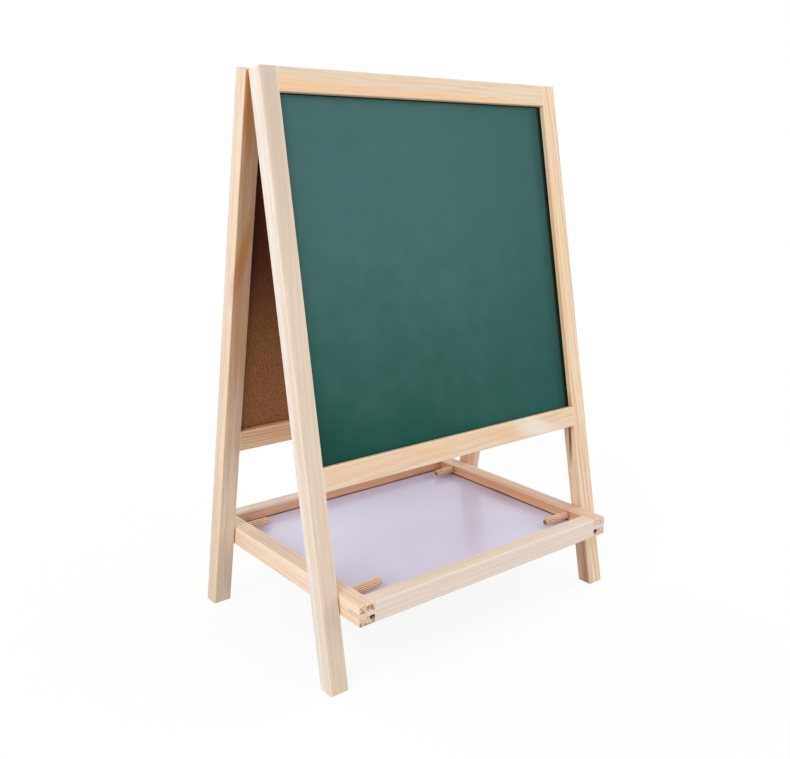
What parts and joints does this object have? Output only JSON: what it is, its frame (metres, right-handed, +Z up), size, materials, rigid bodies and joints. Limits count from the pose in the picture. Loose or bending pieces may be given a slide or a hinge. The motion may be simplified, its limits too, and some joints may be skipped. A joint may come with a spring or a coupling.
{
  "type": "kids easel",
  "caption": "Folding double-sided tabletop easel for children: hinged wooden frames that hold a chalkboard and a whiteboard, and a shallow pegged tray between the legs.",
  "frame": {"origin": "centre of the easel on the surface that its feet stand on", "axes": "+X to the right across the easel, -Y to the front where the chalkboard faces, +Z up"},
  "size_m": [0.27, 0.198, 0.3998],
  "materials": {
    "leg_pine": "smooth sanded pale pine, unlacquered",
    "rail_pine": "smooth sanded pine with warm streaks",
    "tray_pine": "smooth sanded pale pine, unlacquered",
    "peg_wood": "fluted hardwood dowel",
    "chalkboard": "3 mm hardboard, dark green chalkboard paint on the front face",
    "whiteboard": "3 mm hardboard, white melamine on the outer face",
    "tray_board": "3 mm hardboard, white melamine on the upper face",
    "hinge_steel": "zinc plated"
  },
  "bodies": {
    "front_frame": {"front_left_leg": "leg_pine", "front_right_leg": "leg_pine", "front_top_rail": "rail_pine", "front_lower_rail": "rail_pine", "chalkboard": "chalkboard", "front_corner_dowels": "peg_wood", "left_hinge_front_leaf": "hinge_steel", "right_hinge_front_leaf": "hinge_steel", "left_hinge_pin": "hinge_steel", "right_hinge_pin": "hinge_steel", "front_hinge_screws": "hinge_steel"},
    "rear_frame": {"rear_left_leg": "leg_pine", "rear_right_leg": "leg_pine", "rear_top_rail": "rail_pine", "rear_lower_rail": "rail_pine", "whiteboard": "whiteboard", "rear_corner_dowels": "peg_wood", "left_hinge_rear_leaf": "hinge_steel", "right_hinge_rear_leaf": "hinge_steel", "rear_hinge_screws": "hinge_steel"},
    "tray": {"tray_left_rail": "tray_pine", "tray_right_rail": "tray_pine", "tray_front_rail": "tray_pine", "tray_rear_rail": "tray_pine", "tray_panel": "tray_board"},
    "front_left_peg": {"front_left_peg": "peg_wood"},
    "front_right_peg": {"front_right_peg": "peg_wood"},
    "rear_left_peg": {"rear_left_peg": "peg_wood"},
    "rear_right_peg": {"rear_right_peg": "peg_wood"}
  },
  "joints": [
    {"name": "frame_fold", "type": "hinge", "parent": "front_frame", "child": "rear_frame", "pos_m": [0, 0, 0.39589], "axis": [1, 0, 0], "range_deg": [-20.8, 0]},
    {"name": "tray_swing", "type": "hinge", "parent": "front_frame", "child": "tray", "pos_m": [0, -0.07038, 0.05865], "axis": [1, 0, 0], "range_deg": [-16.4, 0]},
    {"name": "front_left_peg_slide", "type": "slide", "parent": "tray", "child": "front_left_peg", "axis": [-1, 0, 0], "range_m": [-0.016, 0.0053]},
    {"name": "front_right_peg_slide", "type": "slide", "parent": "tray", "child": "front_right_peg", "axis": [1, 0, 0], "range_m": [-0.016, 0.0053]},
    {"name": "rear_left_peg_slide", "type": "slide", "parent": "tray", "child": "rear_left_peg", "axis": [-1, 0, 0], "range_m": [-0.01, 0.0115]},
    {"name": "rear_right_peg_slide", "type": "slide", "parent": "tray", "child": "rear_right_peg", "axis": [1, 0, 0], "range_m": [-0.01, 0.0115]}
  ]
}
